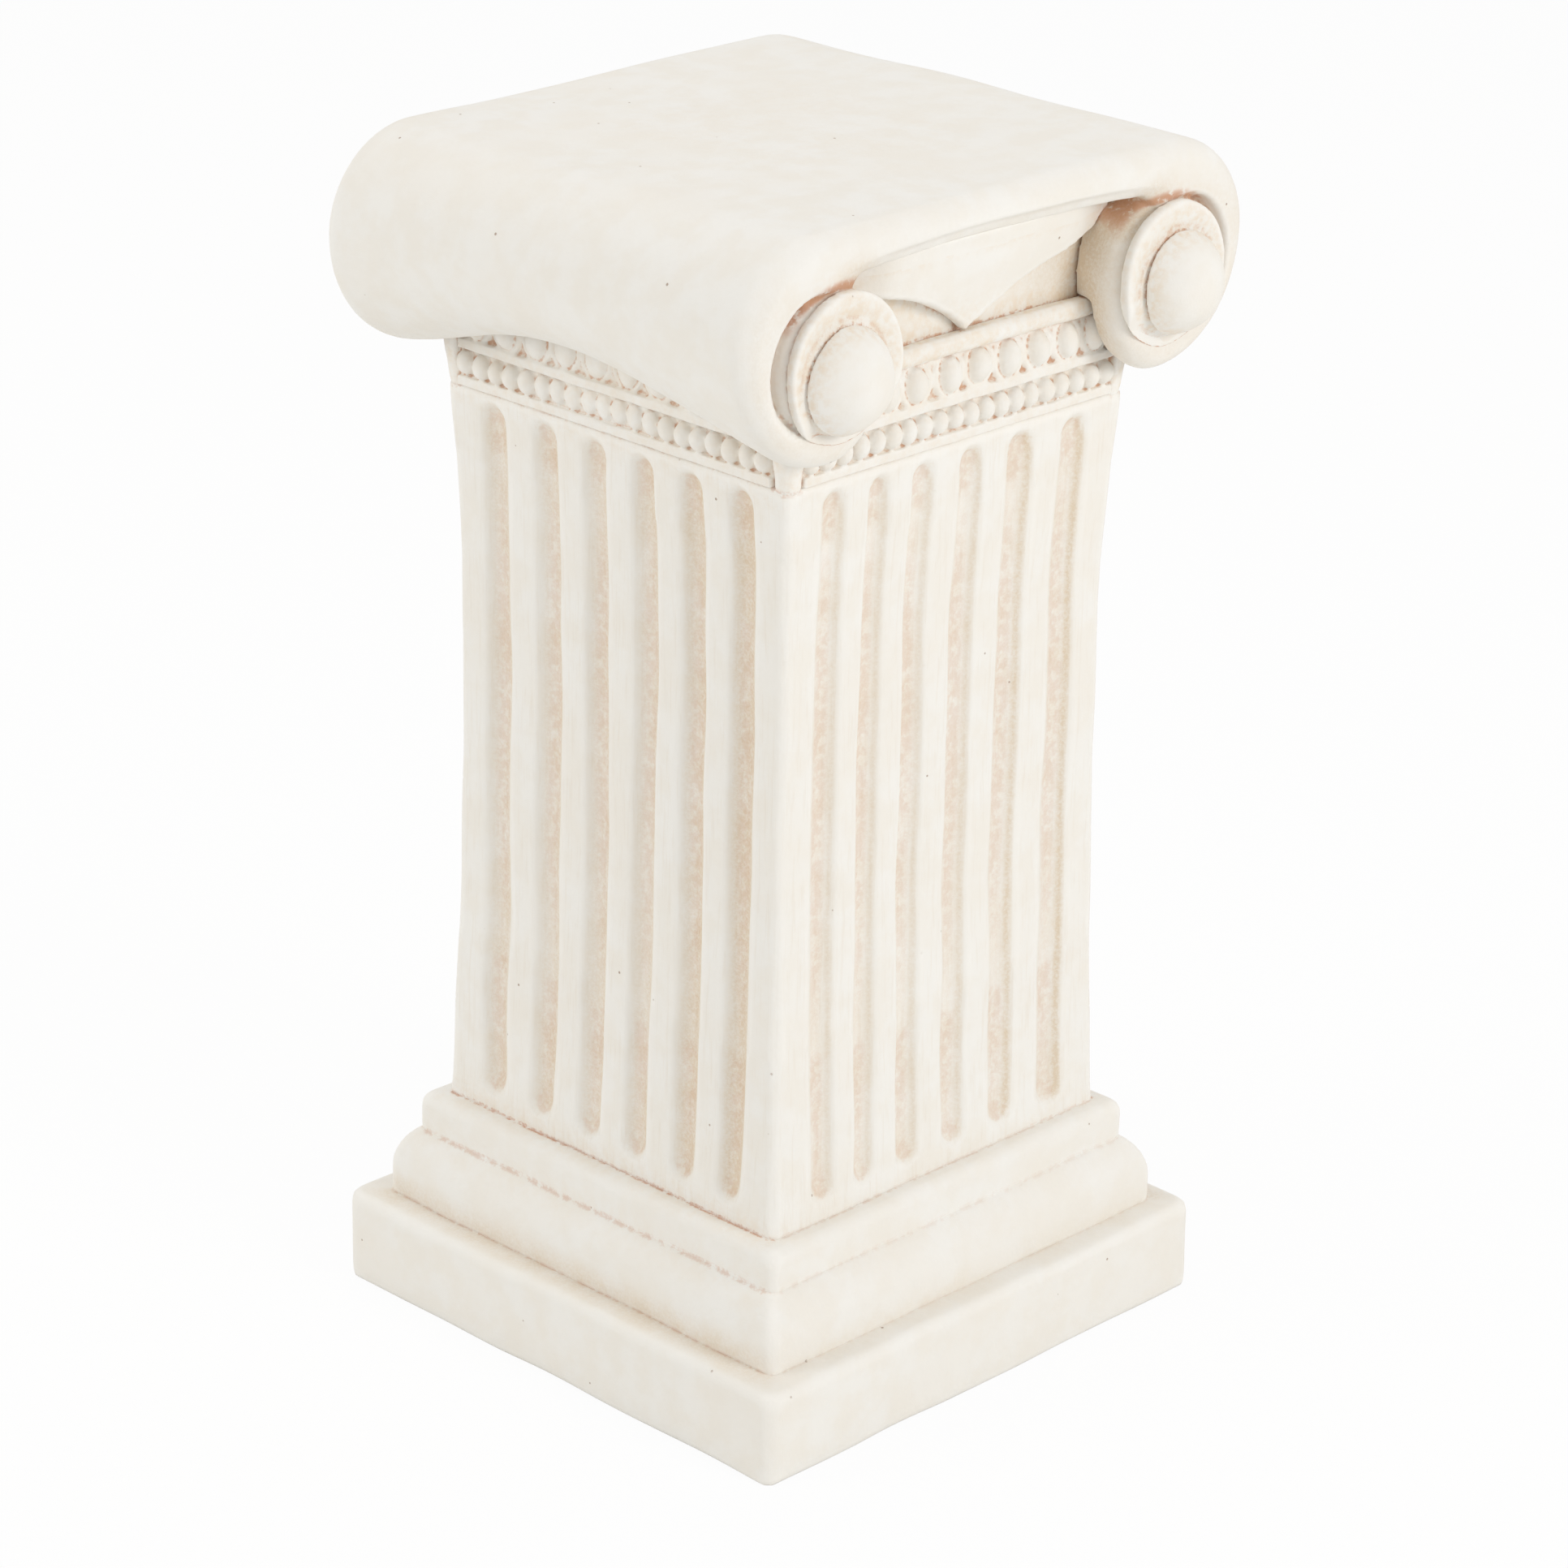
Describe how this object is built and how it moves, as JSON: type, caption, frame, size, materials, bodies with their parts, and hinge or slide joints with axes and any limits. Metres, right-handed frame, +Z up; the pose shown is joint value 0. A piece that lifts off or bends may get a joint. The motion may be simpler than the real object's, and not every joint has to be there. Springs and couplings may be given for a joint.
{
  "type": "pedestal",
  "caption": "Short square column pedestal with fluted shaft, stepped base and scroll capital, a hollow cast stand with a flat top that holds a plant pot, bust or ornament",
  "frame": {"origin": "centre of the underside, on the floor", "axes": "+Z up along the column; -Y out of the front, the face with two of the four volutes; the scroll's rolls run along Y on the left (-X) and on the right (+X)"},
  "size_m": [0.1682, 0.166, 0.301],
  "materials": {
    "cast": "matte"
  },
  "bodies": {
    "root": {"plinth": "cast", "base_ovolo": "cast", "base_fillet": "cast", "shaft": "cast", "capital_core": "cast", "scroll": "cast", "bead_course_front": "cast", "egg_course_front": "cast", "ledge_front": "cast", "bead_course_right": "cast", "egg_course_right": "cast", "ledge_right": "cast", "bead_course_back": "cast", "egg_course_back": "cast", "ledge_back": "cast", "bead_course_left": "cast", "egg_course_left": "cast", "ledge_left": "cast", "apron_front": "cast", "apron_back": "cast", "volute_disc_front_left": "cast", "volute_eye_front_left": "cast", "volute_disc_front_right": "cast", "volute_eye_front_right": "cast", "volute_disc_back_left": "cast", "volute_eye_back_left": "cast", "volute_disc_back_right": "cast", "volute_eye_back_right": "cast"}
  },
  "joints": []
}
